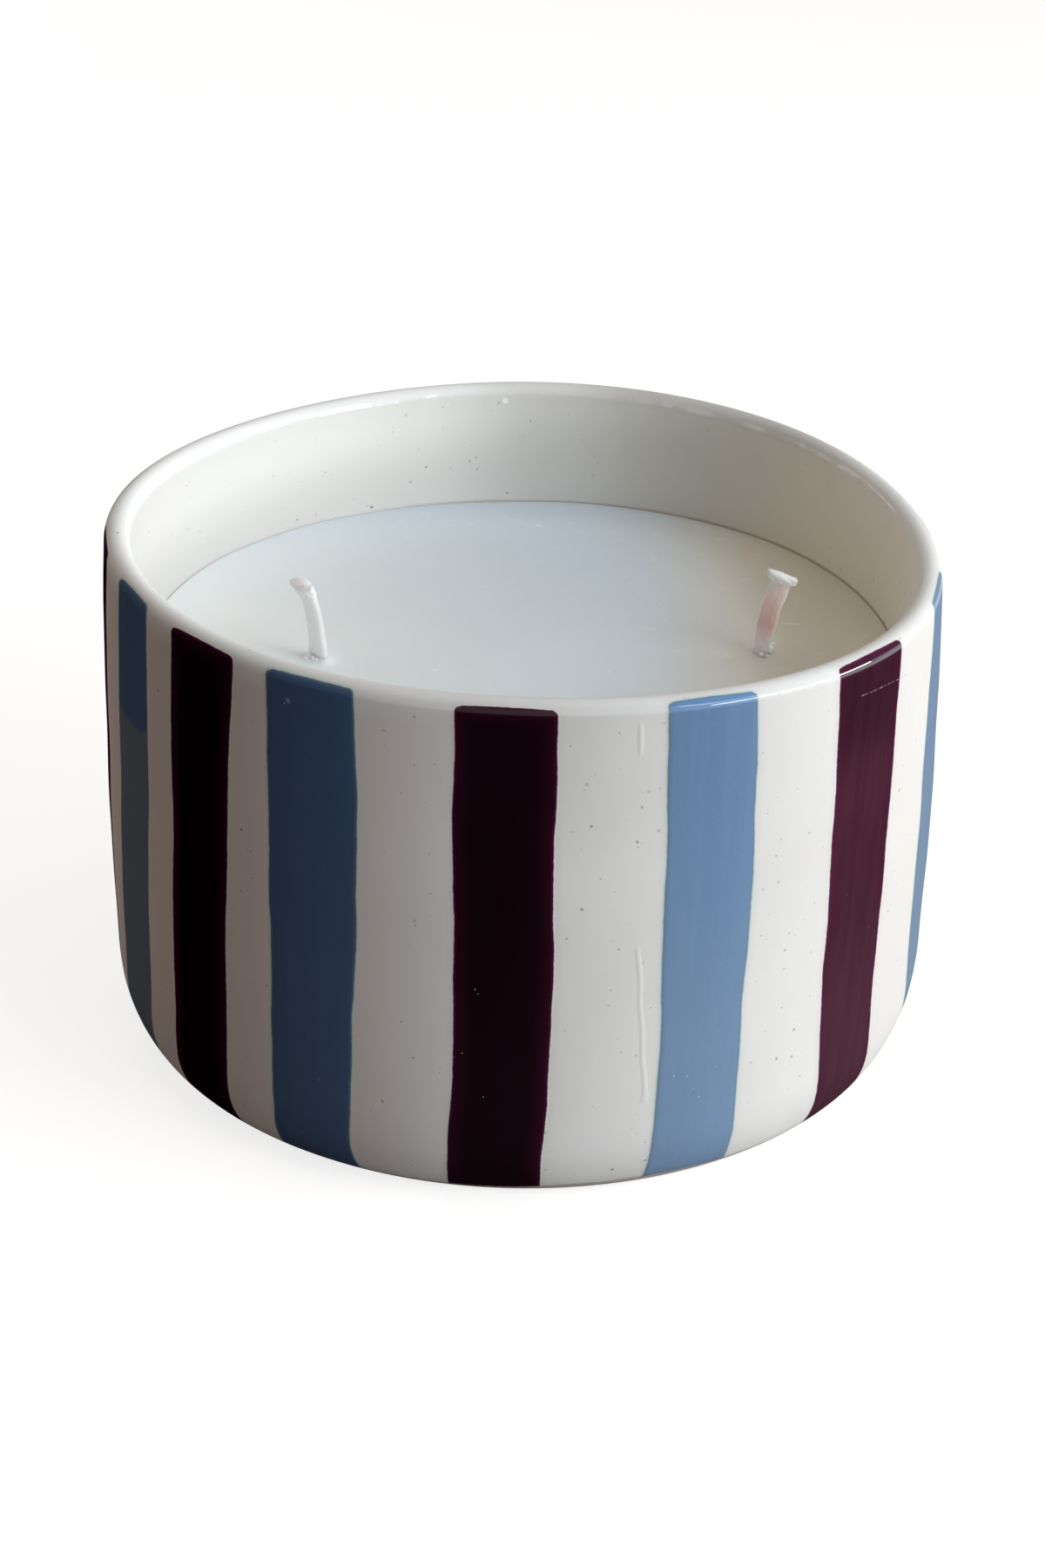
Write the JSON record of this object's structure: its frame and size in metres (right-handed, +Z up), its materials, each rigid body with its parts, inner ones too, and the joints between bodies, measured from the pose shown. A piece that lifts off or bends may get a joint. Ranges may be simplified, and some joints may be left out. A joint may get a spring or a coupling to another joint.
{
  "type": "container candle",
  "caption": "Container candle: pale poured wax with flat braided wicks in a low glazed ceramic bowl painted with upright stripes.",
  "frame": {"origin": "centre of the bowl's foot, on the surface that it stands on", "axes": "+Z up out of the bowl's mouth, -Y towards the viewer of the picture, +X to the viewer's right, along the line of the wicks"},
  "size_m": [0.1524, 0.1524, 0.0955],
  "materials": {
    "striped_glaze": "clear gloss glaze over speckled cream clay, with blue and aubergine brushed stripes",
    "wax": "smooth satin poured wax",
    "wick_cotton": "waxed flat cotton braid",
    "tinned_steel": "bright tinned steel sheet",
    "adhesive_foam": "white double-sided foam"
  },
  "bodies": {
    "root": {"ceramic_bowl": "striped_glaze", "wax_fill": "wax", "left_wick": "wick_cotton", "left_wick_sustainer": "tinned_steel", "left_wick_sticker": "adhesive_foam", "right_wick": "wick_cotton", "right_wick_sustainer": "tinned_steel", "right_wick_sticker": "adhesive_foam"}
  },
  "joints": []
}
